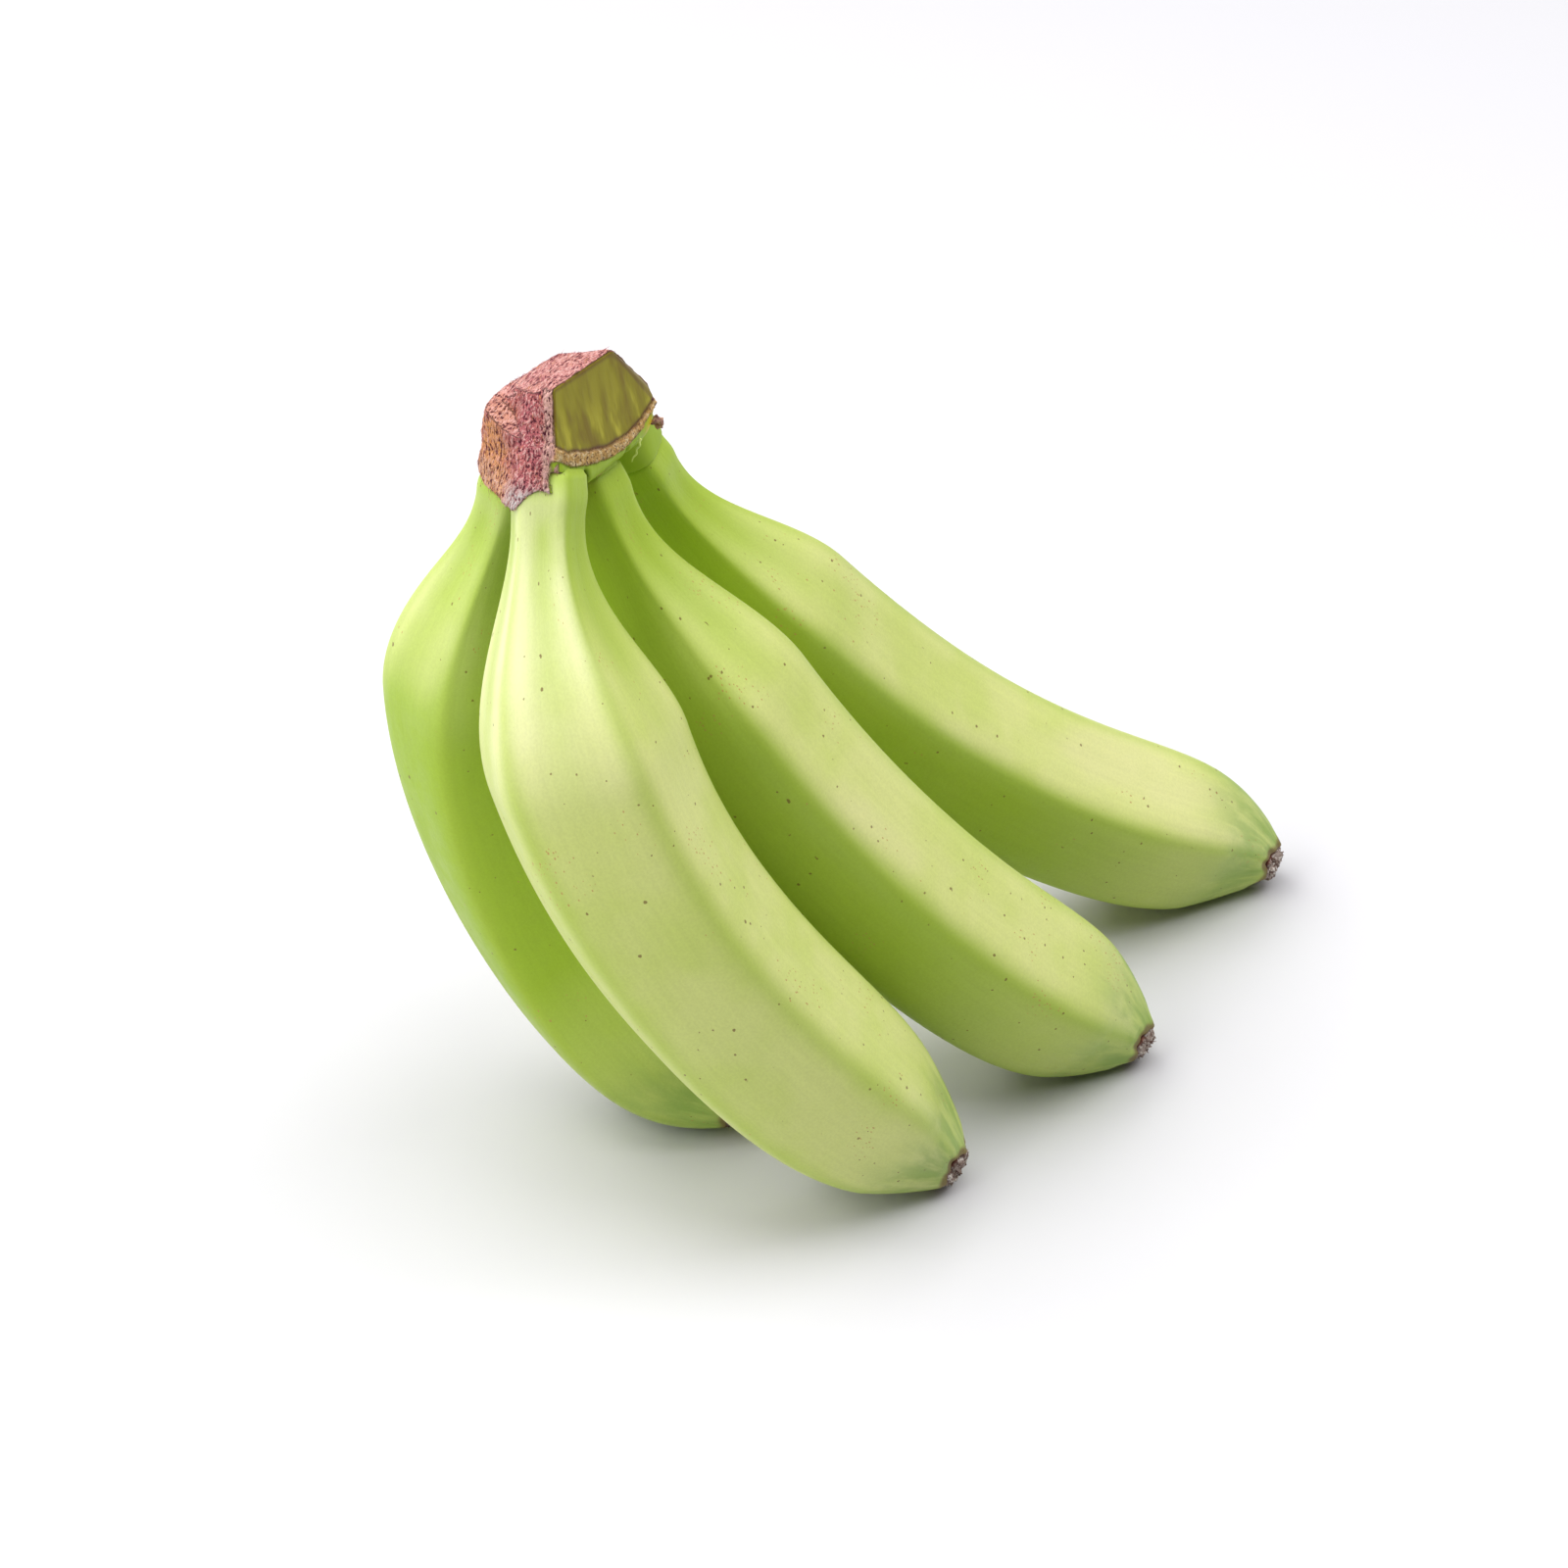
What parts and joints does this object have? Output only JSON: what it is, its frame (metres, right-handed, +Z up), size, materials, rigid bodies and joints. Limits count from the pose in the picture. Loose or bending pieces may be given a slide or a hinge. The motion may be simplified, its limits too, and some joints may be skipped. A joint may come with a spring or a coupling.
{
  "type": "bunch of green bananas",
  "caption": "Hand of unripe green bananas on a cut crown, lying on the bellies of the fruits with the stalks and crown raised.",
  "frame": {"origin": "on the surface the bunch lies on, under the middle of its bounding box", "axes": "+Z up from the surface; +X the way the fruits' free ends point; the crown is at low X"},
  "size_m": [0.183, 0.1414, 0.1792],
  "materials": {
    "crown": null,
    "peel": null,
    "dry": null
  },
  "bodies": {
    "root": {"crown": "crown", "banana_left": "peel", "banana_front": "peel", "banana_middle": "peel", "banana_right": "peel", "blossom_end_left": "dry", "blossom_end_front": "dry", "blossom_end_middle": "dry", "blossom_end_right": "dry"}
  },
  "joints": []
}
